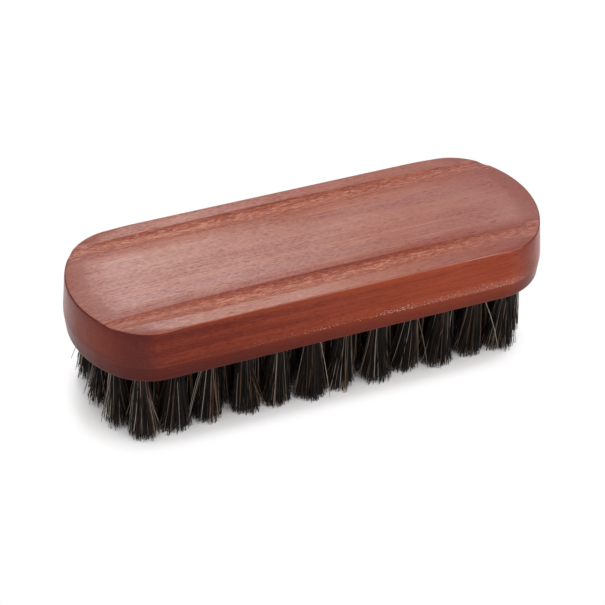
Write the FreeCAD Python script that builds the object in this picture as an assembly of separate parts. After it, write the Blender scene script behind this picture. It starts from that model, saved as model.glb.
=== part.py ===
import FreeCAD
import Part
import math
import os

from FreeCAD import Vector

# Shoe shine brush: a stained hardwood block with a finger cove along each side of its top, drilled
# from below for staggered tufts of horsehair. Each tuft is folded double round a flat wire anchor,
# which is driven to the bottom of its hole and bites into the wood on both sides.
# Millimetres. The origin is under the middle of the block, on the surface that the bristle tips
# rest on. +X runs along the block and +Z points up.

# Block: it is widest at a ridge round its side, and narrows from there to its top and its foot
LENGTH = 125.5
WIDTH = 46.6
BLOCK_HEIGHT = 14.5
FOOT_BAND = 4.7
FOOT_INSET = 0.5
TOP_INSET = 0.8
END_RISE = 11.9
CORNER_RADIUS = 15.9
TOP_EDGE_BREAK = 0.5
FOOT_EDGE_BREAK = 0.4

# Finger coves: their cutter dips into the middle of the block and rises towards both ends
COVE_WIDTH = 5.8
COVE_DEPTH = 0.9
COVE_END_DEPTH = 0.12
RIM_WIDTH = 4.0

# Drilled holes, in rows that are staggered by half a pitch
HOLE_DIAMETER = 4.2
HOLE_DEPTH = 8.5
TUFT_PITCH = 9.0
ROW_PITCH = 5.0
END_MARGIN = 8.0
SIDE_MARGIN = 8.0

# Tufts, trimmed level at the tips; they and their holes are drawn with a few flat sides
FLATS = 7
BRISTLE_LENGTH = 20.5
TIP_DIAMETER = 6.4
CROWN_DIAMETER = 2.6
CROWN_HEIGHT = 0.9
SPLAY_SHARE = 0.028

# Wire anchors, on edge and across the grain, each with a thickness of hair folded over it
WIRE_WIDTH = 1.6
WIRE_THICKNESS = 0.5
ANCHOR_BITE = 0.5
FOLD_THICKNESS = 1.2

# Fits
HAIR_CLEARANCE = 0.08
OVERRUN = 1.0

# Levels, places and lengths that follow from these
FOOT_LEVEL = BRISTLE_LENGTH
RIDGE_LEVEL = FOOT_LEVEL + FOOT_BAND
TOP_LEVEL = FOOT_LEVEL + BLOCK_HEIGHT
HOLE_TOP = FOOT_LEVEL + HOLE_DEPTH
WIRE_LEVEL = HOLE_TOP - FOLD_THICKNESS - WIRE_WIDTH
WIRE_LENGTH = HOLE_DIAMETER + 2 * ANCHOR_BITE
COVE_Y = WIDTH / 2 - TOP_INSET - RIM_WIDTH - COVE_WIDTH / 2
END_RADIUS = (END_RISE ** 2 + (WIDTH / 2) ** 2) / (2 * END_RISE)


def plan_outline(inset, level):
    """The block's outline in plan: straight sides, bowed ends and round corners, all tangent."""
    end_x = LENGTH / 2 - END_RADIUS
    corner_y = WIDTH / 2 - CORNER_RADIUS
    reach = math.sqrt((END_RADIUS - CORNER_RADIUS) ** 2 - corner_y ** 2)
    square = math.pi / 2
    turn = math.atan2(corner_y, reach)

    def on_end(angle):
        radius = END_RADIUS - inset
        return end_x + radius * math.cos(angle), radius * math.sin(angle)

    def on_corner(angle):
        radius = CORNER_RADIUS - inset
        return end_x + reach + radius * math.cos(angle), corner_y + radius * math.sin(angle)

    def at(point, side_x, side_y):
        return Vector(side_x * point[0], side_y * point[1], level)

    end = on_end(0)
    end_join = on_end(turn)
    corner = on_corner((turn + square) / 2)
    side_join = on_corner(square)
    pieces = []
    for s in (1, -1):
        pieces.append(Part.LineSegment(at(side_join, -1, s), at(side_join, 1, s)))
        pieces.append(Part.Arc(at(end_join, s, -1), at(end, s, 1), at(end_join, s, 1)))
        for t in (1, -1):
            pieces.append(Part.Arc(at(end_join, s, t), at(corner, s, t), at(side_join, s, t)))
    return Part.Wire(Part.sortEdges([piece.toShape() for piece in pieces])[0])


def cove_cutter(side):
    """A round bar, slightly bent, whose lower part cuts one finger cove along the block's top."""
    radius = ((COVE_WIDTH / 2) ** 2 + COVE_DEPTH ** 2) / (2 * COVE_DEPTH)
    rise = COVE_DEPTH - COVE_END_DEPTH
    bend = (rise ** 2 + (LENGTH / 2) ** 2) / (2 * rise)
    bottom = TOP_LEVEL - COVE_DEPTH
    across = Vector(0, 1, 0)
    pivot = Vector(0, 0, bottom + bend)
    turn = math.degrees(math.asin((LENGTH / 2 + OVERRUN) / (bend - radius)))
    circle = Part.makeCircle(radius, Vector(0, side * COVE_Y, bottom + radius), Vector(1, 0, 0))
    profile = Part.Face(Part.Wire(circle))
    profile.rotate(pivot, across, -turn)
    return profile.revolve(pivot, across, 2 * turn)


def ring(x, y, level, diameter):
    """The corners of a level polygon, which has one of its flats towards +X."""
    angles = [2 * math.pi * (side + 0.5) / FLATS for side in range(FLATS)]
    return [Vector(x + diameter / 2 * math.cos(a), y + diameter / 2 * math.sin(a), level) for a in angles]


def flat_sided_solid(rings):
    """A closed solid of flat faces through level rings, listed from the top down."""
    faces = [Part.Face(Part.makePolygon(end + end[:1])) for end in (rings[0], rings[-1])]
    for upper, lower in zip(rings, rings[1:]):
        for side in range(FLATS):
            after = (side + 1) % FLATS
            corners = [upper[side], lower[side], lower[after], upper[after], upper[side]]
            faces.append(Part.Face(Part.makePolygon(corners)))
    return Part.makeSolid(Part.makeShell(faces))


def hole_cutter(x, y):
    """A drilled hole, open at the block's foot."""
    return flat_sided_solid([
        ring(x, y, HOLE_TOP, HOLE_DIAMETER),
        ring(x, y, FOOT_LEVEL - OVERRUN, HOLE_DIAMETER),
    ])


def wire_across(x, y, clearance):
    """A cut length of flat wire, on edge across the hole, with room round its section."""
    thickness = WIRE_THICKNESS + 2 * clearance
    width = WIRE_WIDTH + 2 * clearance
    corner = Vector(x - thickness / 2, y - WIRE_LENGTH / 2, WIRE_LEVEL - clearance)
    return Part.makeBox(thickness, WIRE_LENGTH, width, corner)


def anchor(x, y):
    return wire_across(x, y, 0)


def tuft(x, y):
    """A folded bundle of hair: a crown over the anchor, legs down the hole and a flare to the tips."""
    root_diameter = HOLE_DIAMETER - 2 * HAIR_CLEARANCE
    crown_top = HOLE_TOP - HAIR_CLEARANCE
    splay = 1 + SPLAY_SHARE
    bundle = flat_sided_solid([
        ring(x, y, crown_top, CROWN_DIAMETER),
        ring(x, y, crown_top - CROWN_HEIGHT, root_diameter),
        ring(x, y, FOOT_LEVEL, root_diameter),
        ring(x * splay, y * splay, 0, TIP_DIAMETER),
    ])
    return bundle.cut(wire_across(x, y, HAIR_CLEARANCE))


def tuft_rows():
    """The places of the tufts, as one list for each row across the block."""
    columns = math.floor((LENGTH / 2 - END_MARGIN) / (TUFT_PITCH / 2))
    rows = math.floor((WIDTH / 2 - SIDE_MARGIN) / ROW_PITCH)
    across = []
    for column in range(-columns, columns + 1):
        x = column * TUFT_PITCH / 2
        across.append([(x, row * ROW_PITCH) for row in range(-rows, rows + 1) if (row + column) % 2 == 0])
    return across


def end_edges(body, pick):
    """The edges round the block's flat top or foot, for which pick is max or min."""
    return pick(body.Faces, key=lambda face: face.CenterOfMass.z).Edges


def handle_block(places):
    """The wooden block, with its coves, broken edges, drilled holes and the anchors' bites."""
    body = Part.makeLoft([
        plan_outline(FOOT_INSET, FOOT_LEVEL),
        plan_outline(0, RIDGE_LEVEL),
        plan_outline(TOP_INSET, TOP_LEVEL),
    ], True, True)
    body = body.makeChamfer(TOP_EDGE_BREAK, end_edges(body, max))
    body = body.makeChamfer(FOOT_EDGE_BREAK, end_edges(body, min))
    body = body.cut([cove_cutter(1), cove_cutter(-1)])
    body = body.cut([hole_cutter(x, y) for x, y in places])
    return body.cut([anchor(x, y) for x, y in places])


def export(shapes, node):
    Part.makeCompound(shapes).exportStep(os.path.join("parts", node + ".step"))


os.makedirs("parts", exist_ok=True)
rows_across = tuft_rows()
export([handle_block([place for row in rows_across for place in row])], "handle_block")
for number, row in enumerate(rows_across, start=1):
    export([tuft(x, y) for x, y in row], f"tuft_row_{number:02d}")
    export([anchor(x, y) for x, y in row], f"anchor_row_{number:02d}")
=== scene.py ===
"""Shoe shine brush: a stained hardwood block, staggered tufts of horsehair and their wire anchors.

Metres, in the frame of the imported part: +X along the block, +Z up, bristle tips on the floor at Z 0.
"""

import math

import bmesh
import bpy
from mathutils import Matrix, Vector


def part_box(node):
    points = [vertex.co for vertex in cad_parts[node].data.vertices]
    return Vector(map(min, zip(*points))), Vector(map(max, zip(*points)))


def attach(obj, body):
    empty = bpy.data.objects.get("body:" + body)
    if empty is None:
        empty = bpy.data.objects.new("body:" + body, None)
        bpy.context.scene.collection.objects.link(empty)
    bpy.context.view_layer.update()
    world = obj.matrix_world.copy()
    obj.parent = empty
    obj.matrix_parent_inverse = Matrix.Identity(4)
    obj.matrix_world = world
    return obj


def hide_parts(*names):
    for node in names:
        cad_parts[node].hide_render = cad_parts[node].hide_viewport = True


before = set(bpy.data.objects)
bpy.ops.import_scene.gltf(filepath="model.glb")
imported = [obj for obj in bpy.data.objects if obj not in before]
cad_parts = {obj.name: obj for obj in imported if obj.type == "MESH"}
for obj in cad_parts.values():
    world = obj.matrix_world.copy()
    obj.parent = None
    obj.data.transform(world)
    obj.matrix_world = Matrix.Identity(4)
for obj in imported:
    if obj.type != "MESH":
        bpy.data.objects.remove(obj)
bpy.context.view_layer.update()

bl_info = {
    "name": "Shoe shine brush",
    "version": (1, 0, 0),
    "blender": (4, 5, 0),
    "location": "3D View > Sidebar > Brush",
    "description": "Builds a horsehair shoe shine brush with a stained hardwood block",
    "category": "Add Mesh",
}

MM = 0.001
WHITE = (1.0, 1.0, 1.0, 1.0)
BLOCK_LOW, BLOCK_HIGH = (Vector(corner_shade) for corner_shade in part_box("handle_block"))
TUFT_NODES = sorted(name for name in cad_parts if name.startswith("tuft_row"))
ANCHOR_NODES = sorted(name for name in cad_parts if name.startswith("anchor_row"))


# Sizes and colours that a user would change

def scalar(name, description, value, **kind):
    return bpy.props.FloatProperty(name=name, description=description, default=value, **kind)


def triple(name, description, values, **kind):
    return bpy.props.FloatVectorProperty(
        name=name, description=description, default=values, size=3, **kind)


def length(name, description, millimetres):
    return scalar(name, description, millimetres * MM, unit="LENGTH", precision=4)


def share(name, description, value):
    return scalar(name, description, value, min=0.0, max=1.0, subtype="FACTOR")


def amount(name, description, value):
    return scalar(name, description, value, min=0.0)


def angle(name, description, degrees):
    return scalar(name, description, math.radians(degrees), subtype="ANGLE", unit="ROTATION")


def count(name, description, value):
    return bpy.props.IntProperty(name=name, description=description, default=value, min=1)


def colour(name, description, *rgb):
    return triple(name, description, rgb, subtype="COLOR", min=0.0, max=1.0)


def place(name, description, *millimetres):
    metres = [value * MM for value in millimetres]
    return triple(name, description, metres, subtype="XYZ", unit="LENGTH")


class BlockSettings(bpy.types.PropertyGroup):
    """Sizes and stain of the wooden block."""

    foot_band: length("Foot band", "Height of the ridge above the foot", 4.7)
    foot_inset: length("Foot inset", "How far the foot stands in from the ridge", 0.5)
    top_inset: length("Top inset", "How far the top stands in from the ridge", 0.8)
    end_rise: length("End rise", "How far the bowed ends stand out past their corners", 11.9)
    corner_radius: length("Corner radius", "Plan radius of the four corners", 15.9)
    top_round: length("Top round", "Radius of the worn top edge", 0.4)
    foot_round: length("Foot round", "Radius of the foot's edge", 0.5)
    ridge_round: length("Ridge round", "Height of the softened ridge", 0.7)
    cove_width: length("Cove width", "Width of each finger cove", 5.8)
    cove_depth: length("Cove depth", "Depth of each finger cove at its middle", 0.9)
    cove_end_depth: length("Cove end depth", "Depth of each finger cove where it runs out", 0.12)
    rim_width: length("Rim width", "Width of the rim outside each cove", 4.0)
    roll_width: length("Roll width", "Width of the band that is sanded down at each end of the top", 7.0)
    roll_depth: length("Roll depth", "How far that band is sanded down at its edge", 0.26)
    hole_diameter: length("Hole diameter", "Diameter of the drilled holes", 4.2)
    hole_depth: length("Hole depth", "Depth of the drilled holes", 8.5)
    stain: colour("Stain", "Colour of the stained top", 0.388, 0.108, 0.062)
    # The dark stain is also painted shade on the cove walls that look at -Y and beside the near cove
    dark_stain_and_shade: colour("Dark stain", "Colour of the darker bands of the grain", 0.250, 0.030, 0.008)
    pale: colour("Pale grain", "Colour of the pale lines in the grain of the top", 0.440, 0.130, 0.055)
    # The dusky stain is also painted shade near the ends of the top
    dusk_and_shade: colour("Dusky stain", "Colour that the stain turns to towards its +X end", 0.330, 0.112, 0.096)
    # Lighter and darker colours of the side; the change between them along X is partly painted light
    side_bright: colour("Polished side", "Colour of the side where its polish is bright", 0.430, 0.068, 0.022)
    side_dark: colour("Deep side", "Colour of the side where its stain is deep", 0.190, 0.020, 0.009)
    # The deep stain is also painted shade in the side's corners, under the ridge, on the walls and at the
    # ends of the top
    deep_stain_and_shade: colour("Deep stain", "Colour of the stain where it gathered", 0.105, 0.013, 0.009)
    pore: colour("Pores", "Colour of the open pores", 0.075, 0.018, 0.012)
    torn: colour("Torn grain", "Colour of the torn fibres in the coves", 0.740, 0.310, 0.215)
    # The pale colour of bare fibres, also used for painted glints and sheen along the ridge and the top
    # edges
    bare_and_glint: colour("Bare fibres", "Colour of the fibres that show along the ridge", 0.740, 0.430, 0.360)


class TuftSettings(bpy.types.PropertyGroup):
    """Layout and hair of the tufts."""

    tuft_pitch: length("Tuft pitch", "Distance between the tufts of one row along the block", 9.0)
    row_pitch: length("Row pitch", "Distance between neighbouring rows along the block", 5.0)
    rows: count("Rows", "Rows of tufts along the block", 7)
    splay: share("Splay", "How far the tips lean outwards, as a share of their place", 0.028)
    end_draw: share("End draw", "How far the end tips lean back in, as a share of their place", 0.044)
    lean: length("Lean", "How far all tips are combed towards -X", 0.95)
    root_radius: length("Root radius", "Radius of a tuft where it leaves its hole", 1.45)
    tip_radius: length("Tip radius", "Radius of a tuft at its tips", 4.2)
    root_depth: length("Root depth", "How far the modelled hairs reach up into their hole", 5.0)
    hairs: count("Hairs", "Hairs in each tuft", 480)
    segments: count("Segments", "Straight pieces along each hair", 5)
    hair_radius: length("Hair radius", "Radius of one hair", 0.100)
    ragged: length("Ragged", "How unevenly the tips are trimmed", 1.9)
    seed: count("Seed", "Seed of everything random in the tufts", 11)
    black: colour("Black hair", "Colour of most hairs", 0.0060, 0.0042, 0.0036)
    brown: colour("Brown hair", "Colour of the brown hairs", 0.062, 0.028, 0.016)
    tan: colour("Tan hair", "Colour of the tan hairs", 0.320, 0.180, 0.105)
    grey: colour("Grey hair", "Colour of the palest hairs", 0.620, 0.530, 0.440)


class AnchorSettings(bpy.types.PropertyGroup):
    """Finish of the wire anchors."""

    steel: colour("Steel", "Colour of the drawn wire", 0.560, 0.550, 0.530)
    tarnish: colour("Tarnish", "Colour of its dull patches", 0.250, 0.220, 0.190)


class StageSettings(bpy.types.PropertyGroup):
    """Floor, lamps and camera."""

    floor_size: length("Floor size", "Side of the square floor", 6000.0)
    floor: colour("Floor", "Colour of the floor", 0.800, 0.800, 0.800)
    lift: amount("Floor lift", "White added to the floor where a reflection shows it", 0.40)
    gain: amount("Floor gain", "How much whiter the camera sees the light on the floor", 2.18)
    world: amount("Room light", "Strength of the even light of the room", 0.45)
    aim: place("Aim", "Point that the camera looks at", -4.400, -8.386, 22.541)
    azimuth: angle("Azimuth", "Turn of the camera round the part, from the front", -22.96)
    elevation: angle("Elevation", "Height of the camera over the horizon", 37.15)
    roll: angle("Roll", "Tilt of the camera round its own axis", 1.06)
    distance: length("Distance", "Distance from the camera to its aim", 555.6)
    lens: amount("Lens", "Focal length in millimetres on a sensor 36 mm wide", 132.27)


SETTINGS = {
    "brush_block": BlockSettings,
    "brush_tufts": TuftSettings,
    "brush_anchors": AnchorSettings,
    "brush_stage": StageSettings,
}


# Nodes written as expressions

def operator_pair(operation):
    """An operator of Term and its reflected form."""

    def forward(term, value):
        return term.sheet.maths(operation, term, value)

    def reflected(term, value):
        return term.sheet.maths(operation, value, term)

    return forward, reflected


class Term:
    """A socket in an expression: each operator adds the Math node that it stands for."""

    __add__, __radd__ = operator_pair("ADD")
    __sub__, __rsub__ = operator_pair("SUBTRACT")
    __mul__, __rmul__ = operator_pair("MULTIPLY")
    __truediv__, __rtruediv__ = operator_pair("DIVIDE")
    __pow__, __rpow__ = operator_pair("POWER")

    def __init__(self, sheet, socket):
        self.sheet = sheet
        self.socket = socket

    def other(self, name):
        """Another output of the same node."""
        return Term(self.sheet, self.socket.node.outputs[name])

    def __abs__(self):
        return self.sheet.maths("ABSOLUTE", self)

    def ramped(self, low, high, start=0.0, end=1.0, kind="SMOOTHSTEP"):
        """The value moved from one range to another, clamped at both ends."""
        return self.sheet.node("ShaderNodeMapRange", {"interpolation_type": kind}, {
            "Value": self, "From Min": low, "From Max": high, "To Min": start, "To Max": end})


class Sheet:
    """A node tree that is filled one node at a time."""

    def __init__(self, tree):
        self.tree = tree

    def node(self, kind, settings, values, out=0):
        """Adds a node, sets it up, fills its sockets and gives one of its outputs."""
        made = self.tree.nodes.new(kind)
        for name, value in settings.items():
            if name == "stops":
                self.fill_ramp(made.color_ramp, value)
            else:
                setattr(made, name, value)
        for name, value in values.items():
            if isinstance(value, Term):
                self.tree.links.new(value.socket, made.inputs[name])
            else:
                made.inputs[name].default_value = value
        return Term(self, made.outputs[out]) if len(made.outputs) else made

    def fill_ramp(self, ramp, stops):
        while len(ramp.elements) < len(stops):
            ramp.elements.new(1.0)
        for element, (position, value) in zip(ramp.elements, stops):
            element.position = position
            element.color = value

    def maths(self, operation, *values):
        return self.node("ShaderNodeMath", {"operation": operation}, dict(enumerate(values)))

    def vector(self, operation, *values):
        return self.node("ShaderNodeVectorMath", {"operation": operation}, dict(enumerate(values)))

    def scaled(self, vector, factor):
        return self.node("ShaderNodeVectorMath", {"operation": "SCALE"}, {0: vector, "Scale": factor})

    def summed(self, first, *others):
        """The sum of several vectors."""
        for vector in others:
            first = self.vector("ADD", first, vector)
        return first

    def largest(self, first, *others):
        """The largest of several values."""
        for value in others:
            first = self.maths("MAXIMUM", first, value)
        return first

    def joined(self, x, y, z):
        return self.node("ShaderNodeCombineXYZ", {}, {"X": x, "Y": y, "Z": z})

    def parted(self, vector):
        """The X, Y and Z of a vector."""
        x = self.node("ShaderNodeSeparateXYZ", {}, {"Vector": vector})
        return x, x.other("Y"), x.other("Z")

    def mix_colour(self, factor, low, high):
        return self.node("ShaderNodeMix", {"data_type": "RGBA"}, {0: factor, 6: low, 7: high}, 2)

    def mix_vector(self, factor, low, high):
        return self.node("ShaderNodeMix", {"data_type": "VECTOR"}, {0: factor, 4: low, 5: high}, 1)


class MaterialSheet(Sheet):
    """The node tree of a material, with what several materials use."""

    def __init__(self, name):
        self.material = bpy.data.materials.new(name)
        self.material.use_nodes = True
        super().__init__(self.material.node_tree)
        self.tree.nodes.clear()

    def finish(self, surface):
        self.node("ShaderNodeOutputMaterial", {}, {"Surface": surface})
        return self.material

    def place_mm(self):
        """The place on the piece, in millimetres."""
        return self.scaled(self.node("ShaderNodeTexCoord", {}, {}, "Object"), 1 / MM)

    def noise(self, vector, detail=2.0, roughness=0.6):
        return self.node("ShaderNodeTexNoise", {"noise_dimensions": "3D"}, {
            "Vector": vector, "Scale": 1.0, "Detail": detail, "Roughness": roughness})

    def bump(self, height, strength, distance):
        return self.node("ShaderNodeBump", {}, {
            "Strength": strength, "Distance": distance, "Height": height})

    def light(self, strength):
        """White light of an even strength."""
        return self.node("ShaderNodeEmission", {}, {"Color": WHITE, "Strength": strength})


class GeometrySheet(Sheet):
    """A Geometry Nodes tree that is given geometry, a material, and whole and real numbers by label."""

    def __init__(self, name, whole, real):
        super().__init__(bpy.data.node_groups.new(name, "GeometryNodeTree"))
        sockets = self.tree.interface
        sockets.new_socket("Geometry", in_out="OUTPUT", socket_type="NodeSocketGeometry")
        kinds = {"Geometry": "Geometry", "Material": "Material"}
        kinds.update(dict.fromkeys(whole, "Int"))
        kinds.update(dict.fromkeys(real, "Float"))
        self.keys = {}
        for label, kind in kinds.items():
            made = sockets.new_socket(label, in_out="INPUT", socket_type="NodeSocket" + kind)
            self.keys[label] = made.identifier
        entry = self.node("NodeGroupInput", {}, {})
        self.given = {label: entry.other(label) for label in kinds}

    def finish(self, geometry):
        whole = self.node("GeometryNodeRealizeInstances", {}, {"Geometry": geometry})
        dressed = self.node("GeometryNodeSetMaterial", {}, {
            "Geometry": whole, "Material": self.given["Material"]})
        self.node("NodeGroupOutput", {}, {"Geometry": dressed})
        return self

    def run_on(self, obj, values):
        """Runs the tree on an object and leaves the result as its plain mesh."""
        modifier = obj.modifiers.new(self.tree.name, "NODES")
        modifier.node_group = self.tree
        for label, value in values.items():
            modifier[self.keys[label]] = value
        graph = bpy.context.evaluated_depsgraph_get()
        made = bpy.data.meshes.new_from_object(obj.evaluated_get(graph))
        obj.modifiers.remove(modifier)
        obj.data = made
        if not made.polygons:
            raise RuntimeError(self.tree.name + " made no faces on " + obj.name)


def opaque(rgb):
    return (*rgb, 1.0)


# Materials

class WoodSheet(MaterialSheet):
    """The tree of the stained wood, with the places, masks and patterns that its layers share.

    Lengths are in millimetres. A mask is 1 where its name holds, and fades to 0 elsewhere.
    """

    def __init__(self, block):
        super().__init__("Stained hardwood")
        self.find_places(block)
        self.find_masks()
        self.draw_grain()
        self.draw_wear()

    def pattern(self, along, across, shift, detail=2.0, roughness=0.6):
        """Noise that is drawn out along the grain. Each shift gives another pattern."""
        moved = self.vector("ADD", self.at, (shift, 2.3 * shift, 1.7 * shift))
        return self.noise(self.vector("MULTIPLY", moved, (along, across, across)), detail, roughness)

    def painted(self, ground, *coats):
        """A ground with coats over it, each given by its colour and its cover."""
        for tint, cover in coats:
            ground = self.mix_colour(cover, ground, opaque(tint))
        return ground

    def find_places(self, block):
        self.at = self.place_mm()
        self.x, self.y, z = self.parted(self.at)
        normal = self.node("ShaderNodeNewGeometry", {}, {}, "Normal")
        self.facing_x, self.facing_y, self.facing_z = self.parted(normal)
        half_width = BLOCK_HIGH.y / MM
        self.cove_y = cove_centre(block) / MM
        self.half_cove = block.cove_width / 2 / MM
        end_x = BLOCK_HIGH.x / MM - (self.y / half_width) ** 2.0 * (block.end_rise / MM)
        self.from_end = end_x - abs(self.x)
        self.from_side = half_width - abs(self.y)
        self.past_cove = abs(abs(self.y) - self.cove_y) - self.half_cove
        self.under_top = BLOCK_HIGH.z / MM - z
        self.over_ridge = z - (BLOCK_LOW.z + block.foot_band) / MM

    def find_masks(self):
        self.faces_up = self.facing_z.ramped(0.55, 0.8)
        self.faces_out = 1 - self.faces_up
        self.end_grain = abs(self.facing_x).ramped(0.12, 0.6)
        self.long_side = self.faces_out * (1 - self.end_grain)
        self.below_ridge = self.over_ridge.ramped(0.2, -0.5)
        self.top_end = self.from_end.ramped(8.0, 4.5) * self.faces_up
        self.end_edge = self.facing_z.ramped(0.30, 0.55) * self.facing_z.ramped(0.99, 0.95) * self.end_grain
        panel_y = self.cove_y - self.half_cove
        self.near_rim = self.y.ramped(-panel_y - 4.0, -panel_y - 6.5) * self.faces_up
        self.near_half = self.y.ramped(5.0, -5.0)
        self.in_cove = self.past_cove.ramped(0.10, -0.10) * self.faces_up * self.under_top.ramped(0.02, 0.12)
        self.on_panel = abs(self.y).ramped(self.cove_y, self.cove_y - 1.0) * self.faces_up

        # A warm band lies along the panel and bends towards the near cove
        across = self.y + self.x.ramped(-10.0, 25.0, 0.0, 4.5)
        warm = across.ramped(1.0, 4.0) * across.ramped(10.5, 8.0)
        self.warm_band = warm * self.from_end.ramped(6.0, 15.0) * self.faces_up

    def draw_grain(self):
        wander = self.pattern(along=0.018, across=0.05, shift=40.0, roughness=0.5) * 2.2
        bent = self.vector("ADD", self.at, self.joined(0.0, wander, wander))
        self.bands = self.noise(self.vector("MULTIPLY", bent, (0.004, 0.30, 0.30)), detail=3.0) - 0.5
        narrow = self.vector("MULTIPLY", bent, (0.045, 2.0, 2.0))
        self.streaks = self.noise(narrow, detail=3.0, roughness=0.7) - 0.5
        grain = self.pattern(along=0.95, across=2.5, shift=7.0, detail=1.0) - 0.5
        self.grain = grain * self.x.ramped(-25.0, 35.0, 1.0, 0.55)
        self.fibres = self.pattern(along=0.20, across=5.0, shift=11.0)
        self.pores = self.pattern(along=0.40, across=2.6, shift=23.0, detail=1.0).ramped(0.64, 0.72)
        self.blotch = self.pattern(along=0.03, across=0.05, shift=71.0, roughness=0.5) - 0.5

    def draw_wear(self):
        # Torn fibres and pits of the coves
        flecks = self.pattern(along=0.42, across=2.3, shift=5.0, detail=4.0, roughness=0.8)
        flecks = flecks.ramped(0.47, 0.60) * self.x.ramped(5.0, 45.0, 1.0, 0.55)
        self.flecks = flecks * (1 - self.near_half * self.x.ramped(-25.0, -45.0, 0.0, 0.6))
        pits = self.pattern(along=0.5, across=2.4, shift=57.0, detail=3.0, roughness=0.7)
        self.pits = pits.ramped(0.54, 0.63)

        # Bare and dark specks of the ridge, the pale ones partly painted glints, in a band that grows higher
        # and fuller towards +X
        band_height = self.x.ramped(-5.0, 55.0, 1.3, 2.8)
        upper = (self.over_ridge / band_height).ramped(1.0, 0.0)
        self.ridge_band = self.over_ridge.ramped(-0.45, -0.20) * upper
        patches = self.pattern(along=0.08, across=0.01, shift=91.0, detail=3.0).ramped(0.36, 0.60, 0.45, 1.0)
        chance = self.ridge_band * patches * self.x.ramped(-46.0, 18.0) * self.long_side * 0.85
        some = chance.ramped(0.02, 0.15)
        specks = self.pattern(along=2.0, across=3.0, shift=31.0, roughness=0.7)
        self.bare_glint_specks = (specks + chance * 0.18).ramped(0.65, 0.71) * some
        self.dark_specks = (specks - chance * 0.20).ramped(0.37, 0.31) * some


def top_stain(wood, block):
    """Colour of the top: dark and pale grain, a warm band, a pale near rim and a dusky +X end."""
    shade = wood.bands * 1.2 + wood.streaks * 1.3 + wood.grain * 1.3
    pale_lines = (wood.streaks + wood.bands * 0.8 + wood.blotch * 0.5).ramped(0.02, 0.25)
    pale_rim = wood.near_rim * wood.x.ramped(30.0, 12.0) * wood.x.ramped(-48.0, -30.0)
    return wood.painted(
        opaque(block.dark_stain_and_shade),
        (block.stain, shade + 0.5),
        (block.pale, pale_lines * 0.55),
        (block.pale, wood.warm_band * 0.32),
        (block.dusk_and_shade, wood.x.ramped(20.0, 58.0) * 0.5),
        (block.pale, pale_rim * 0.42))


def side_stain_and_painted_light(wood, block):
    """Colour of the side: lighter towards +X and darker towards -X, partly its stain and partly painted
    light, with painted light on the -X end face and painted shade in its corners.
    """
    # Partly the stain and partly painted light: the side is painted lighter towards +X
    side_bright = wood.x.ramped(-62.0, 42.0, 0.0, 0.92) + wood.bands * 1.9 + wood.streaks * 1.6 + wood.grain * 0.5
    dull_end = wood.end_grain * wood.x.ramped(-10.0, 40.0, 0.8, 0.4)
    turned = abs(wood.facing_x)
    # Painted light on the flat of the -X end face
    end_face_light = turned.ramped(0.72, 0.95) * wood.x.ramped(-40.0, -55.0)
    # Painted shade in the corners between the long walls and the ends
    corner_shade = turned.ramped(0.12, 0.42) * turned.ramped(0.85, 0.5)
    return wood.painted(
        opaque(block.side_dark),
        (block.side_bright, side_bright * (1 - dull_end)),
        (block.side_bright, end_face_light * 0.22),
        (block.deep_stain_and_shade, corner_shade * wood.x.ramped(-30.0, 30.0, 0.65, 0.3)),
        (block.dusk_and_shade, wood.x.ramped(35.0, 55.0) * 0.1))


def painted_shade(wood, block, ground):
    """Painted shade: darker near the ends of the top and along the edges there, on the walls towards -X just
    under the top edge and just above the ridge, and down the band under the ridge, which faces down.
    """
    # Painted shade down the band under the ridge, which faces down
    under_ridge_shade = wood.below_ridge * 0.45 + wood.over_ridge.ramped(0.0, -3.8, 0.0, 0.5, "LINEAR")
    under_ridge_shade = under_ridge_shade * wood.x.ramped(-45.0, 20.0, 0.95, 0.72)
    # Painted shade on the walls towards -X, just above the ridge and a painted shadow just under the top
    # edge
    over_ridge_shade = wood.over_ridge.ramped(2.2, 0.4) * wood.x.ramped(-50.0, 28.0, 0.42, 0.0, "LINEAR")
    under_edge_shadow = wood.under_top.ramped(3.2, 0.6) * wood.x.ramped(-25.0, -45.0, 0.0, 0.30)
    wall_shade = wood.largest(over_ridge_shade, under_edge_shadow) * wood.faces_out
    shade_mask = wood.largest(wood.top_end * 0.14, wood.end_edge, wall_shade, under_ridge_shade)
    # The dusky and deep stains are put on here as painted shade
    return wood.painted(ground, (block.dusk_and_shade, wood.top_end * 0.3), (block.deep_stain_and_shade, shade_mask))


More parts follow.
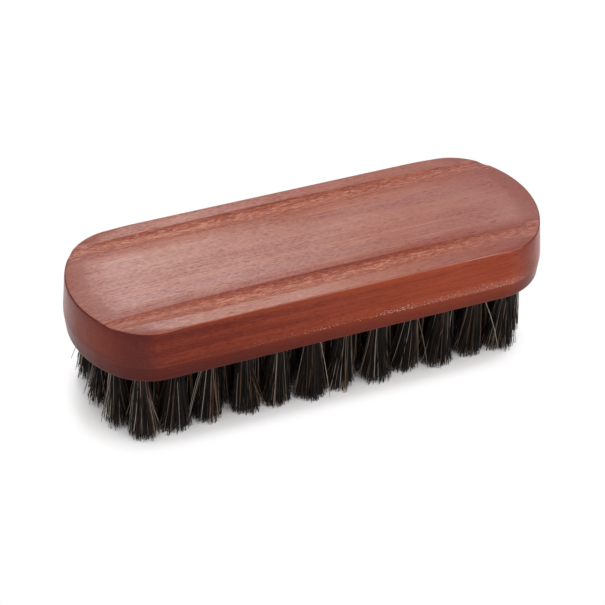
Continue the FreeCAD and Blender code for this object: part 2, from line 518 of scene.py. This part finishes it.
def torn_and_shaded_coves(wood, block, ground):
    """Coves: bright flecks of torn fibres. The walls that look at -Y get fewer flecks and a darker stain as
    painted shade, so the other walls look lit; a painted shade line runs along the panel by the near cove,
    and a darker line along the steepest part of each wall.
    """
    front_wall = wood.facing_y.ramped(-0.24, -0.50)
    # Painted light and shade: fewer bright flecks on the walls that look at -Y
    wall_shade_share = front_wall * wood.y.ramped(-5.0, 5.0, 0.8, 0.5)
    ticks = wood.pattern(along=0.45, across=2.8, shift=83.0, detail=1.0).ramped(0.64, 0.70)
    ticks = ticks * wood.x.ramped(-10.0, 25.0) * wood.past_cove.ramped(1.6, 0.6) * wood.faces_up
    # Painted shade line on the panel along the near cove's edge
    lip_shade = wood.past_cove.ramped(0.55, 0.15) * wood.on_panel * wood.near_half * (1 - wood.in_cove)
    # A darker line along the steepest part of each cove wall
    steep_line = abs(wood.facing_y).ramped(0.46, 0.55) * wood.in_cove
    return wood.painted(
        ground,
        # Torn fibres, fewer on the walls that look at -Y as painted shade
        (block.torn, wood.in_cove * (1 - wall_shade_share) * (0.10 + wood.flecks * 0.66)),
        (block.deep_stain_and_shade, wood.in_cove * wood.pits * 0.50),
        # Painted shade on the walls that look at -Y
        (block.dark_stain_and_shade, wood.in_cove * front_wall * wood.y.ramped(-5.0, 5.0, 0.25, 0.0)),
        (block.pore, ticks * 0.65),
        (block.dark_stain_and_shade, lip_shade * 0.45),
        (block.pore, steep_line * 0.6))


def worn_and_glinting_ridge(wood, block, ground):
    """Ridge and long top edges: pale specks, partly bare fibres showing through the lacquer and partly
    painted glints; a pale line along the long top edges, partly worn wood and partly painted highlight; and
    a painted sheen along the ridge towards +X.
    """
    leaning = wood.facing_z.ramped(0.35, 0.6) * wood.facing_z.ramped(0.95, 0.8)
    top_edge = leaning * wood.from_side.ramped(2.0, 1.5) * (1 - wood.end_grain)
    # Partly worn wood and partly a painted highlight along the long top edges
    edge_glint = top_edge * (wood.streaks * 2.5 + 0.7)
    edge_glint = edge_glint * wood.x.ramped(-25.0, 20.0, 0.05, 0.50) * wood.x.ramped(52.0, 44.0)
    # Painted sheen along the ridge, stronger towards +X
    ridge_sheen = wood.ridge_band * wood.x.ramped(0.0, 45.0, 0.0, 0.14) * wood.long_side
    specks = wood.bare_glint_specks * wood.x.ramped(-35.0, 30.0, 0.60, 0.72)
    bare_and_glint = wood.largest(specks, edge_glint, ridge_sheen)
    return wood.painted(ground, (block.deep_stain_and_shade, wood.dark_specks * 0.7), (block.bare_and_glint, bare_and_glint))


def lacquer_weight(wood):
    """Weight of the lacquer, which is thin on the side, in the coves, along edges and on worn wood."""
    panel_edge = wood.past_cove.ramped(4.2, 1.0) * wood.on_panel * (1 - wood.in_cove)
    at_ends = wood.top_end * 0.50 + wood.end_edge * 0.4
    dull_rim = wood.near_rim * wood.x.ramped(12.0, 42.0, 0.0, 0.55)
    dull_foot = wood.below_ridge * (0.88 - wood.end_grain * 0.05)
    dull_side = wood.largest(dull_foot, 0.57 + wood.end_grain * 0.04) * wood.faces_out
    thin = wood.largest(at_ends, wood.in_cove * 0.55, dull_rim, panel_edge * 0.42, dull_side)
    glow = wood.from_end.ramped(8.0, 12.0) * wood.from_end.ramped(24.0, 14.0)
    glow = glow * wood.x.ramped(-20.0, -40.0) * wood.on_panel * (1 - panel_edge)
    bright_rim = wood.near_rim * wood.x.ramped(-20.0, -45.0, 0.0, 0.15)
    full = 0.54 + wood.grain * 1.1 + wood.blotch * 1.2 + bright_rim + glow * 0.15 + wood.warm_band * 0.09
    return (1 - wood.bare_glint_specks) * (1 - wood.pores * 0.5) * (1 - thin) * full


def stained_wood(block):
    """Stained and lacquered hardwood, with its grain along X, torn in the coves and worn along its ridge,
    and with painted shade, painted light and painted highlights in its colour.
    """
    wood = WoodSheet(block)
    stain = wood.painted(
        wood.mix_colour(wood.faces_up, side_stain_and_painted_light(wood, block), top_stain(wood, block)),
        (block.dark_stain_and_shade, wood.fibres.ramped(0.42, 0.66) * 0.22),
        (block.pore, wood.pores * 0.42))
    for layer in (painted_shade, torn_and_shaded_coves, worn_and_glinting_ridge):
        stain = layer(wood, block, stain)

    waves = wood.noise(wood.vector("MULTIPLY", wood.at, (0.20, 0.20, 0.12)), detail=1.0, roughness=0.5)
    relief = wood.fibres * 0.25 + wood.grain * 0.5 - wood.pores * 0.8 + wood.bare_glint_specks
    relief = relief + wood.in_cove * (wood.flecks * 1.6 - wood.pits * 1.4)
    relief = relief + waves * wood.end_grain * wood.faces_out * 12.0
    rough = 0.29 + wood.fibres * 0.06 + wood.grain * 0.10 + wood.blotch * 0.12 + wood.pores * 0.1
    rough = rough + wood.in_cove * 0.16 + wood.bare_glint_specks * 0.25
    surface = wood.node("ShaderNodeBsdfPrincipled", {}, {
        "Base Color": stain, "Roughness": rough, "Coat Weight": lacquer_weight(wood),
        "Coat Roughness": 0.28, "Specular IOR Level": 0.08,
        "Normal": wood.bump(relief, strength=0.30, distance=0.08 * MM)})
    return wood.finish(surface)


def horsehair(tufts):
    """Horsehair: mostly black, with brown, tan and grey hairs told apart by the tone of each hair."""
    hair = MaterialSheet("Horsehair")
    tone = hair.node("ShaderNodeAttribute", {"attribute_name": "hair_tone"}, {}, "Fac")
    mottle = hair.noise(hair.vector("MULTIPLY", hair.place_mm(), (1.5, 1.5, 0.35)))
    stops = [
        (0.0, opaque(tufts.black)),
        (0.42, opaque(tufts.black)),
        (0.66, opaque(tufts.brown)),
        (0.86, opaque(tufts.tan)),
        (1.0, opaque(tufts.grey)),
    ]
    dyed = hair.node("ShaderNodeValToRGB", {"stops": stops}, {"Fac": tone + (mottle - 0.5) * 0.12})
    surface = hair.node("ShaderNodeBsdfPrincipled", {}, {
        "Base Color": dyed, "Roughness": 0.40 + mottle * 0.2, "Specular IOR Level": 0.24,
        "Normal": hair.bump(mottle, strength=0.2, distance=0.02 * MM)})
    return hair.finish(surface)


def drawn_wire(anchors):
    """Flat drawn wire: bright steel with die lines along Y and dull patches."""
    wire = MaterialSheet("Drawn wire")
    at = wire.place_mm()
    lines = wire.noise(wire.vector("MULTIPLY", at, (14.0, 0.4, 14.0)))
    dull = wire.noise(wire.scaled(at, 0.9), detail=3.0).ramped(0.45, 0.65)
    tint = wire.mix_colour(dull * 0.6, opaque(anchors.steel), opaque(anchors.tarnish))
    surface = wire.node("ShaderNodeBsdfPrincipled", {}, {
        "Base Color": tint, "Metallic": 1.0, "Roughness": 0.26 + lines * 0.12 + dull * 0.2,
        "Normal": wire.bump(lines, strength=0.25, distance=0.02 * MM)})
    return wire.finish(surface)


def white_floor(stage):
    """A pale floor that looks white to the camera and in reflections, and still takes the shadow."""
    floor = MaterialSheet("White floor")
    path = floor.node("ShaderNodeLightPath", {}, {}, "Is Camera Ray")
    mirrored = floor.maths("MINIMUM", path.other("Is Glossy Ray") + path.other("Is Transmission Ray"), 1.0)
    bright = tuple(value * stage.gain for value in stage.floor)
    tint = floor.mix_colour(path, opaque(stage.floor), opaque(bright))
    matt = floor.node("ShaderNodeBsdfDiffuse", {}, {"Color": tint})
    both = floor.node("ShaderNodeAddShader", {}, {0: matt, 1: floor.light(stage.lift)})
    seen = floor.node("ShaderNodeMixShader", {}, {0: mirrored, 1: matt, 2: both})

    # The camera sees the shadow close round the bristles, and plain white away from them
    core_x, core_half_length, core_half_width = -4.8, 45.8, 10.0
    fade_start, fade_end = 10.5, 16.5
    x, y, _ = floor.parted(floor.place_mm())
    past_x = floor.largest(abs(x - core_x) - core_half_length, 0.0)
    past_y = floor.largest(abs(y) - core_half_width, 0.0)
    distance = (past_x ** 2.0 + past_y ** 2.0) ** 0.5
    away = distance.ramped(fade_start, fade_end) * path
    return floor.finish(floor.node("ShaderNodeMixShader", {}, {0: away, 1: seen, 2: floor.light(1.0)}))


# Handle block: numbers of steps across and along its skin, and places of the rings down its side

PANEL_STEPS = 18
COVE_STEPS = 20
CORNER_STEPS = 16
LENGTH_STEPS = 132
ROUND_STEPS = 5
CREASE = 0.12 * MM
END_CREASE = 0.15 * MM
WALL_SHARES = (0.12, 0.25, 0.4, 0.55, 0.7, 0.82, 0.9)
FOOT_SHARES = (0.3, 0.6, 0.85)
RIDGE_INSET_SHARE = 0.62
RIDGE_LEVEL_SHARE = 0.35


def cove_centre(block):
    """How far the middle of each cove lies from the middle of the block."""
    return BLOCK_HIGH.y - block.top_inset - block.rim_width - block.cove_width / 2


def block_stations(block, inset):
    """Rows of the top, each with the plan point and normal of its right end, and half the side's length."""
    half_length = BLOCK_HIGH.x
    half_width = BLOCK_HIGH.y
    end_radius = (block.end_rise ** 2 + half_width ** 2) / (2 * block.end_rise)
    end_x = half_length - end_radius
    corner_y = half_width - block.corner_radius
    reach = math.sqrt((end_radius - block.corner_radius) ** 2 - corner_y ** 2)
    turn = math.atan2(corner_y, reach)
    join_y = (end_radius - inset) * math.sin(turn)
    inner = cove_centre(block) - block.cove_width / 2
    outer = cove_centre(block) + block.cove_width / 2
    ys = [inner * step / PANEL_STEPS for step in range(PANEL_STEPS)]
    ys += [inner - CREASE, inner, inner + CREASE]
    ys += [inner + block.cove_width * step / COVE_STEPS for step in range(1, COVE_STEPS)]
    ys += [outer - CREASE, outer, outer + CREASE]
    start = math.asin((outer + CREASE - corner_y) / (block.corner_radius - inset))
    for step in range(1, CORNER_STEPS + 1):
        turned = start + (math.pi / 2 - start) * step / CORNER_STEPS
        ys.append(corner_y + (block.corner_radius - inset) * math.sin(turned))
    rows = []
    for y in ys:
        if y <= join_y:
            a = math.asin(y / (end_radius - inset))
            point = (end_x + end_radius * math.cos(a), end_radius * math.sin(a))
        else:
            a = math.asin(min(1.0, (y - corner_y) / (block.corner_radius - inset)))
            point_x = end_x + reach + block.corner_radius * math.cos(a)
            point = (point_x, corner_y + block.corner_radius * math.sin(a))
        rows.append((y, point, (math.cos(a), math.sin(a))))
    return rows, end_x + reach


def cove_dip(block, x, y):
    """How deep the coves lie under the top, cut by a round bar that rises towards the ends."""
    across = abs(abs(y) - cove_centre(block))
    half = block.cove_width / 2
    if across >= half:
        return 0.0
    radius = (half ** 2 + block.cove_depth ** 2) / (2 * block.cove_depth)
    depth = block.cove_depth - (block.cove_depth - block.cove_end_depth) * (x / BLOCK_HIGH.x) ** 2
    return max(0.0, math.sqrt(radius ** 2 - across ** 2) - (radius - depth))


def block_mesh(block):
    """The block's skin: a mapped grid on top, rings down its side and one flat foot."""
    inset = block.top_inset + block.top_round
    rows, side_x = block_stations(block, inset)
    rows = [(-y, (p[0], -p[1]), (n[0], -n[1])) for y, p, n in reversed(rows[1:])] + rows
    tight = END_CREASE / BLOCK_HIGH.x
    shares = [2 * step / LENGTH_STEPS - 1 for step in range(1, LENGTH_STEPS)]
    shares = [-1.0, tight - 1.0, *shares, 1.0 - tight, 1.0]
    columns = len(shares) - 1
    last = len(rows) - 1
    top = BLOCK_HIGH.z
    foot = BLOCK_LOW.z
    ridge = foot + block.foot_band

    def end_reach(row):
        y, point, normal = row
        return point[0] - inset * normal[0]

    def top_level(x, y, from_end):
        rolled = max(0.0, 1.0 - from_end / block.roll_width)
        return top - cove_dip(block, x, y) - block.roll_depth * rolled ** 2

    mesh = bmesh.new()
    grid = []
    for row in rows:
        reach = end_reach(row)
        line = []
        for u in shares:
            level = top_level(u * reach, row[0], reach * (1 - abs(u)))
            line.append(mesh.verts.new((u * reach, row[0], level)))
        grid.append(line)
    for j in range(last):
        for i in range(columns):
            mesh.faces.new((grid[j][i], grid[j][i + 1], grid[j + 1][i + 1], grid[j + 1][i]))

    border = []
    for i in range(columns + 1):
        border.append((grid[0][i], (shares[i] * side_x, -BLOCK_HIGH.y), (0.0, -1.0)))
    border += [(grid[j][columns], rows[j][1], rows[j][2]) for j in range(1, last)]
    for i in range(columns, -1, -1):
        border.append((grid[last][i], (shares[i] * side_x, BLOCK_HIGH.y), (0.0, 1.0)))
    for j in range(last - 1, 0, -1):
        border.append((grid[j][0], (-rows[j][1][0], rows[j][1][1]), (-rows[j][2][0], rows[j][2][1])))

    upper_slope = block.top_inset / (top - ridge)
    lower_slope = block.foot_inset / block.foot_band

    def profile(start):
        """Inset and level of each ring, down from the level where the top meets its round edge."""
        points = []
        for step in range(1, ROUND_STEPS + 1):
            a = math.pi / 2 * step / ROUND_STEPS
            drop = block.top_round * (1 - math.cos(a))
            edge_inset = block.top_inset + block.top_round * (1 - math.sin(a))
            points.append((edge_inset - upper_slope * drop, start - drop))
        wall_top = start - block.top_round
        for down in WALL_SHARES:
            level = wall_top + (ridge + block.ridge_round - wall_top) * down
            points.append((upper_slope * (level - ridge), level))
        soft = upper_slope * block.ridge_round
        points += [
            (soft, ridge + block.ridge_round),
            (soft * RIDGE_INSET_SHARE, ridge + block.ridge_round * RIDGE_LEVEL_SHARE),
            (soft * RIDGE_INSET_SHARE, ridge - block.ridge_round * RIDGE_LEVEL_SHARE),
            (lower_slope * block.ridge_round, ridge - block.ridge_round),
        ]
        for down in FOOT_SHARES:
            level = ridge - block.ridge_round + (foot + block.foot_round - ridge + block.ridge_round) * down
            points.append((lower_slope * (ridge - level), level))
        for step in range(ROUND_STEPS + 1):
            a = math.pi / 2 * step / ROUND_STEPS
            level = foot + block.foot_round * (1 - math.sin(a))
            points.append((lower_slope * (ridge - level) + block.foot_round * (1 - math.cos(a)), level))
        return points

    profiles = [profile(vert.co.z) for vert, point, normal in border]
    above = [vert for vert, point, normal in border]
    total = len(border)
    for ring in range(len(profiles[0])):
        below = []
        for (vert, point, normal), points in zip(border, profiles):
            depth, level = points[ring]
            spot = (point[0] - depth * normal[0], point[1] - depth * normal[1], level)
            below.append(mesh.verts.new(spot))
        for k in range(total):
            after = (k + 1) % total
            mesh.faces.new((above[k], below[k], below[after], above[after]))
        above = below
    mesh.faces.new(list(reversed(above)))
    bmesh.ops.recalc_face_normals(mesh, faces=mesh.faces)
    for face in mesh.faces:
        face.smooth = True
    made = bpy.data.meshes.new("handle_block_skin")
    mesh.to_mesh(made)
    mesh.free()
    return made


def drilled_holes():
    """Geometry Nodes tree that drills the staggered holes into the foot of the block."""
    sheet = GeometrySheet("Drilled holes", whole=["Columns", "Rows"], real=[
        "Tuft pitch", "Row pitch", "Foot level", "Hole diameter", "Hole depth"])
    given = sheet.given
    columns, rows = given["Columns"], given["Rows"]
    drill_sides = 20
    overrun = 1.0 * MM
    grid = sheet.node("GeometryNodeMeshGrid", {}, {
        "Size X": (columns - 1) * given["Tuft pitch"] * 0.5, "Size Y": (rows - 1) * given["Row pitch"],
        "Vertices X": columns, "Vertices Y": rows}, "Mesh")
    index = sheet.node("GeometryNodeInputIndex", {}, {})
    column = sheet.maths("FLOOR", index / rows)
    row = sheet.maths("MODULO", index, rows)
    odd = sheet.maths("MODULO", column + row + 1, 2.0)
    places = sheet.node("GeometryNodeDeleteGeometry", {"domain": "POINT"}, {
        "Geometry": grid, "Selection": odd})
    drill = sheet.node("GeometryNodeMeshCylinder", {}, {
        "Vertices": drill_sides, "Radius": given["Hole diameter"] * 0.5,
        "Depth": given["Hole depth"] + overrun}, "Mesh")
    lift = sheet.joined(0.0, 0.0, given["Foot level"] + (given["Hole depth"] - overrun) * 0.5)
    places = sheet.node("GeometryNodeSetPosition", {}, {"Geometry": places, "Offset": lift})
    drills = sheet.node("GeometryNodeInstanceOnPoints", {}, {"Points": places, "Instance": drill})
    drills = sheet.node("GeometryNodeRealizeInstances", {}, {"Geometry": drills})
    cut = sheet.node("GeometryNodeMeshBoolean", {"operation": "DIFFERENCE", "solver": "EXACT"}, {
        "Mesh 1": given["Geometry"], "Mesh 2": drills})
    return sheet.finish(cut)


# Tufts

def tuft_row_tree():
    """Geometry Nodes tree that grows the tufts of one row across the block, hair by hair."""
    sheet = GeometrySheet("Horsehair row", whole=["Column", "Rows", "Hairs", "Segments", "Seed"], real=[
        "Tuft pitch", "Row pitch", "Foot level", "Root depth", "Root radius", "Tip radius", "Splay",
        "End draw", "Lean", "Hair radius", "Ragged"])
    given = sheet.given
    above_zero = 101
    locks = 7.0
    lock_out_share = 0.78
    comb_reach = 1.1 * MM
    scatter = 1.0 * MM
    stray_reach = 4.5 * MM
    fray_reach = 4.5 * MM
    shortest_trim = 0.05 * MM
    bow_depth = 0.35 * MM
    stray_bow = 1.2 * MM
    hair_sides = 3
    circle = 2 * math.pi

    def dice(draw, low=0.0, high=1.0):
        """A random number for each point. Each draw has a number of its own."""
        return sheet.node("FunctionNodeRandomValue", {"data_type": "FLOAT"}, {
            2: low, 3: high, "Seed": given["Seed"] + float(draw)}, 1)

    def sideways(first_draw, second_draw):
        """A random level vector."""
        return sheet.joined(dice(first_draw, -1.0, 1.0), dice(second_draw, -1.0, 1.0), 0.0)

    def turned(turn, out):
        """A level vector of a given turn and length."""
        return sheet.joined(sheet.maths("COSINE", turn) * out, sheet.maths("SINE", turn) * out, 0.0)

    def kept(geometry, kind, values):
        """Stores attributes on the points."""
        settings = {"data_type": kind, "domain": "POINT"}
        for name, value in values.items():
            geometry = sheet.node("GeometryNodeStoreNamedAttribute", settings, {
                "Geometry": geometry, "Name": name, "Value": value})
        return geometry

    def recall(name, kind="FLOAT"):
        return sheet.node(
            "GeometryNodeInputNamedAttribute", {"data_type": kind}, {"Name": name}, "Attribute")

    def recall_vector(name):
        return recall(name, "FLOAT_VECTOR")

    index = sheet.node("GeometryNodeInputIndex", {}, {})
    first_x = given["Column"] * given["Tuft pitch"] * 0.5
    first_y = (1 - given["Rows"]) * given["Row pitch"] * 0.5
    line = sheet.node("GeometryNodeMeshLine", {"mode": "OFFSET"}, {
        "Count": given["Rows"], "Start Location": sheet.joined(first_x, first_y, given["Foot level"]),
        "Offset": sheet.joined(0.0, given["Row pitch"], 0.0)})
    odd = sheet.maths("MODULO", index + given["Column"] + above_zero, 2.0)
    line = sheet.node("GeometryNodeDeleteGeometry", {"domain": "POINT"}, {
        "Geometry": line, "Selection": odd})
    tufts = sheet.node("GeometryNodeMeshToPoints", {}, {"Mesh": line})
    tufts = kept(tufts, "FLOAT_VECTOR", {
        "tuft_centre": sheet.node("GeometryNodeInputPosition", {}, {}),
        "tuft_comb": sheet.scaled(sideways(1, 2), comb_reach)})
    tufts = kept(tufts, "FLOAT", {
        "tuft_flare": dice(16, 0.85, 1.15), "tuft_side": dice(3, 0.0, circle), "tuft_pale": dice(4)})

    # One point for each hair: its place in the bundle, its tip, its bow and its tone
    hairs = sheet.node("GeometryNodeDuplicateElements", {"domain": "POINT"}, {
        "Geometry": tufts, "Amount": given["Hairs"]})
    turn = dice(5, 0.0, circle)
    out = dice(6) ** 0.5
    spot = turned(turn, out)
    lock_turn = (sheet.maths("FLOOR", turn / circle * locks) + 0.5) / locks * circle
    gathered = sheet.mix_vector(out.ramped(0.2, 0.8, 0.05, 0.22), spot, turned(lock_turn, lock_out_share))
    stray = dice(7).ramped(0.955, 1.0, 0.0, 1.0, "LINEAR")
    wild = sheet.scaled(sideways(8, 9), stray * stray_reach + scatter)
    centre = recall_vector("tuft_centre")
    splay = sheet.joined(given["Splay"] - given["End draw"], given["Splay"], 0.0)

    # The tufts at the -X end are frayed outwards and worn down unevenly
    centre_x, _, _ = sheet.parted(centre)
    fray = centre_x.ramped(-40.0 * MM, -52.0 * MM) * dice(17).ramped(0.93, 1.0, 0.0, 1.0, "LINEAR")
    worn_down = centre_x.ramped(-46.0 * MM, -54.0 * MM) * dice(18) * 1.3
    tip = sheet.summed(
        sheet.scaled(gathered, given["Tip radius"] * recall("tuft_flare")),
        sheet.vector("MULTIPLY", centre, splay),
        recall_vector("tuft_comb"),
        wild,
        sheet.joined((given["Lean"] + fray * fray_reach) * -1.0, 0.0, 0.0))
    trim = given["Ragged"] * (dice(10) ** 2.5 + stray * 1.4 + fray * 1.8 + worn_down) + shortest_trim
    side = sheet.maths("COSINE", turn - recall("tuft_side")).ramped(0.4, 1.0)
    pale = recall("tuft_pale").ramped(0.45, 0.9)
    loose = (stray + fray * 0.5).ramped(0.0, 0.05)
    tone = dice(13) ** 2.2 + side * pale * 0.75 * dice(14) + loose * 0.42
    hairs = kept(hairs, "FLOAT_VECTOR", {
        "hair_root": sheet.scaled(spot, given["Root radius"]), "hair_tip": tip,
        "hair_bow": sheet.scaled(sideways(11, 12), stray * stray_bow + bow_depth)})
    hairs = kept(hairs, "FLOAT", {
        "hair_number": index, "hair_trim": trim, "hair_tone": tone, "hair_girth": dice(15, 0.75, 1.25)})

    # One point for each joint of each hair, from its root down to its tip
    run = sheet.node("GeometryNodeDuplicateElements", {"domain": "POINT"}, {
        "Geometry": hairs, "Amount": given["Segments"] + 1})
    run = kept(run, "FLOAT", {"along": run.other("Duplicate Index") / given["Segments"]})
    along = recall("along")
    start = given["Foot level"] + given["Root depth"]
    level = start * (1 - along) + recall("hair_trim") * along
    free = level.ramped(given["Foot level"], 0.0, 0.0, 1.0, "LINEAR")
    root = recall_vector("hair_root")
    joint = sheet.summed(
        sheet.vector("MULTIPLY", recall_vector("tuft_centre"), (1.0, 1.0, 0.0)),
        root,
        sheet.scaled(sheet.vector("SUBTRACT", recall_vector("hair_tip"), root), free ** 1.4),
        sheet.scaled(recall_vector("hair_bow"), sheet.maths("SINE", free * math.pi)),
        sheet.joined(0.0, 0.0, level))
    run = sheet.node("GeometryNodeSetPosition", {}, {"Geometry": run, "Position": joint})
    strands = sheet.node("GeometryNodePointsToCurves", {}, {
        "Points": run, "Curve Group ID": recall("hair_number"), "Weight": along})
    section = sheet.node("GeometryNodeCurvePrimitiveCircle", {"mode": "RADIUS"}, {
        "Resolution": hair_sides, "Radius": given["Hair radius"]})
    grown = sheet.node("GeometryNodeCurveToMesh", {}, {
        "Curve": strands, "Profile Curve": section, "Fill Caps": True,
        "Scale": recall("hair_girth") * (1 - along ** 3.0 * 0.15)})
    return sheet.finish(sheet.node("GeometryNodeSetShadeSmooth", {}, {"Geometry": grown}))


def new_object(name, mesh):
    obj = bpy.data.objects.new(name, mesh)
    bpy.context.scene.collection.objects.link(obj)
    return obj


# Operators

SHARP_ANGLE = math.radians(40.0)
SEEDS_IN_ROW = 100


class BRUSH_OT_block(bpy.types.Operator):
    """Builds the stained wooden block with its coves, ridge and drilled foot"""

    bl_idname = "brush.block"
    bl_label = "Handle block"

    def execute(self, context):
        block = context.scene.brush_block
        tufts = context.scene.brush_tufts
        obj = new_object("stained_block", block_mesh(block))
        drilled_holes().run_on(obj, {
            "Columns": len(TUFT_NODES), "Rows": tufts.rows, "Tuft pitch": tufts.tuft_pitch,
            "Row pitch": tufts.row_pitch, "Foot level": BLOCK_LOW.z, "Hole diameter": block.hole_diameter,
            "Hole depth": block.hole_depth, "Material": stained_wood(block)})
        obj.data.set_sharp_from_angle(angle=SHARP_ANGLE)
        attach(obj, "root")
        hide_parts("handle_block")
        return {"FINISHED"}


class BRUSH_OT_tufts(bpy.types.Operator):
    """Grows the tufts of horsehair, one piece for each row across the block"""

    bl_idname = "brush.tufts"
    bl_label = "Horsehair tufts"

    def execute(self, context):
        tufts = context.scene.brush_tufts
        tree = tuft_row_tree()
        material = horsehair(tufts)
        middle = len(TUFT_NODES) // 2
        for number, node in enumerate(TUFT_NODES):
            seed_mesh = bpy.data.meshes.new(node + "_seed")
            obj = new_object(node.replace("tuft_row", "horsehair_row"), seed_mesh)
            tree.run_on(obj, {
                "Column": number - middle, "Rows": tufts.rows, "Tuft pitch": tufts.tuft_pitch,
                "Row pitch": tufts.row_pitch, "Foot level": BLOCK_LOW.z, "Root depth": tufts.root_depth,
                "Root radius": tufts.root_radius, "Tip radius": tufts.tip_radius, "Splay": tufts.splay,
                "End draw": tufts.end_draw, "Lean": tufts.lean, "Hairs": tufts.hairs,
                "Segments": tufts.segments, "Hair radius": tufts.hair_radius, "Ragged": tufts.ragged,
                "Seed": tufts.seed + SEEDS_IN_ROW * number, "Material": material})
            attributes = obj.data.attributes
            for name in [one.name for one in attributes if one.name.startswith(("tuft_", "hair_", "along"))]:
                if name != "hair_tone":
                    attributes.remove(attributes[name])
            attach(obj, "root")
            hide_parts(node)
        return {"FINISHED"}


class BRUSH_OT_anchors(bpy.types.Operator):
    """Gives the wire anchors their drawn steel finish"""

    bl_idname = "brush.anchors"
    bl_label = "Wire anchors"

    def execute(self, context):
        material = drawn_wire(context.scene.brush_anchors)
        for node in ANCHOR_NODES:
            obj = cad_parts[node]
            obj.data.materials.clear()
            obj.data.materials.append(material)
        return {"FINISHED"}


def area_lamp(name, at, target, size, power):
    """A soft box that points at a target."""
    data = bpy.data.lights.new(name, "AREA")
    data.shape = "RECTANGLE"
    data.size, data.size_y = size
    data.energy = power
    lamp = new_object(name, data)
    lamp.location = at
    lamp.rotation_euler = (Vector(target) - Vector(at)).to_track_quat("-Z", "Y").to_euler()


class BRUSH_OT_stage(bpy.types.Operator):
    """Sets up the floor, the soft lamps, the room light and the camera"""

    bl_idname = "brush.stage"
    bl_label = "Stage"

    def execute(self, context):
        stage = context.scene.brush_stage
        half = stage.floor_size / 2
        mesh = bpy.data.meshes.new("floor")
        corners = [(-half, -half, 0), (half, -half, 0), (half, half, 0), (-half, half, 0)]
        mesh.from_pydata(corners, [], [(0, 1, 2, 3)])
        floor = new_object("floor", mesh)
        mesh.materials.append(white_floor(stage))

        world = bpy.data.worlds.new("Room")
        world.use_nodes = True
        room = Sheet(world.node_tree)
        room.tree.nodes.clear()
        path = room.node("ShaderNodeLightPath", {}, {}, "Is Camera Ray")
        seen = path + path.other("Is Glossy Ray") + path.other("Is Transmission Ray")
        even = room.node("ShaderNodeBackground", {}, {"Color": WHITE, "Strength": stage.world})
        white = room.node("ShaderNodeBackground", {}, {"Color": WHITE, "Strength": 1.0})
        both = room.node("ShaderNodeMixShader", {}, {0: room.maths("MINIMUM", seen, 1.0), 1: even, 2: white})
        room.node("ShaderNodeOutputWorld", {}, {"Surface": both})
        context.scene.world = world

        middle = (0.0, 0.0, 0.02)
        right_half = (0.03, 0.0, 0.02)
        area_lamp("back_soft", at=(0.075, 0.38, 0.40), target=middle, size=(0.15, 0.16), power=0.45)
        area_lamp("back_side", at=(0.240, 0.36, 0.40), target=middle, size=(0.18, 0.16), power=0.20)
        area_lamp("top_soft", at=(-0.05, -0.05, 0.65), target=middle, size=(0.50, 0.50), power=1.38)
        area_lamp("side_fill", at=(0.24, -0.30, 0.14), target=right_half, size=(0.26, 0.16), power=0.26)

        data = bpy.data.cameras.new("camera")
        data.sensor_fit = "HORIZONTAL"
        data.sensor_width = 36.0
        data.lens = stage.lens
        data.clip_start = 0.01
        camera = new_object("camera", data)
        flat = math.cos(stage.elevation)
        right = Vector((math.cos(stage.azimuth), math.sin(stage.azimuth), 0.0))
        back = Vector((right.y * flat, -right.x * flat, math.sin(stage.elevation)))
        up = back.cross(right)
        turned = Matrix((right, up, back)).transposed() @ Matrix.Rotation(stage.roll, 3, "Z")
        camera.matrix_world = Matrix.Translation(Vector(stage.aim) + back * stage.distance) @ turned.to_4x4()
        context.scene.camera = camera
        context.scene.view_settings.view_transform = "Standard"
        return {"FINISHED"}


OPERATORS = (BRUSH_OT_block, BRUSH_OT_tufts, BRUSH_OT_anchors, BRUSH_OT_stage)


class BRUSH_PT_panel(bpy.types.Panel):
    """Lists the steps that build the brush"""

    bl_idname = "BRUSH_PT_panel"
    bl_label = "Shoe shine brush"
    bl_space_type = "VIEW_3D"
    bl_region_type = "UI"
    bl_category = "Brush"

    def draw(self, context):
        for operator in OPERATORS:
            self.layout.operator(operator.bl_idname)


CLASSES = (*SETTINGS.values(), *OPERATORS, BRUSH_PT_panel)


def register():
    for cls in CLASSES:
        bpy.utils.register_class(cls)
    for name, group in SETTINGS.items():
        setattr(bpy.types.Scene, name, bpy.props.PointerProperty(type=group))


def unregister():
    for name in SETTINGS:
        delattr(bpy.types.Scene, name)
    for cls in reversed(CLASSES):
        bpy.utils.unregister_class(cls)


def main():
    register()
    bpy.ops.brush.block()
    bpy.ops.brush.tufts()
    bpy.ops.brush.anchors()
    bpy.ops.brush.stage()


if __name__ == "__main__":
    main()
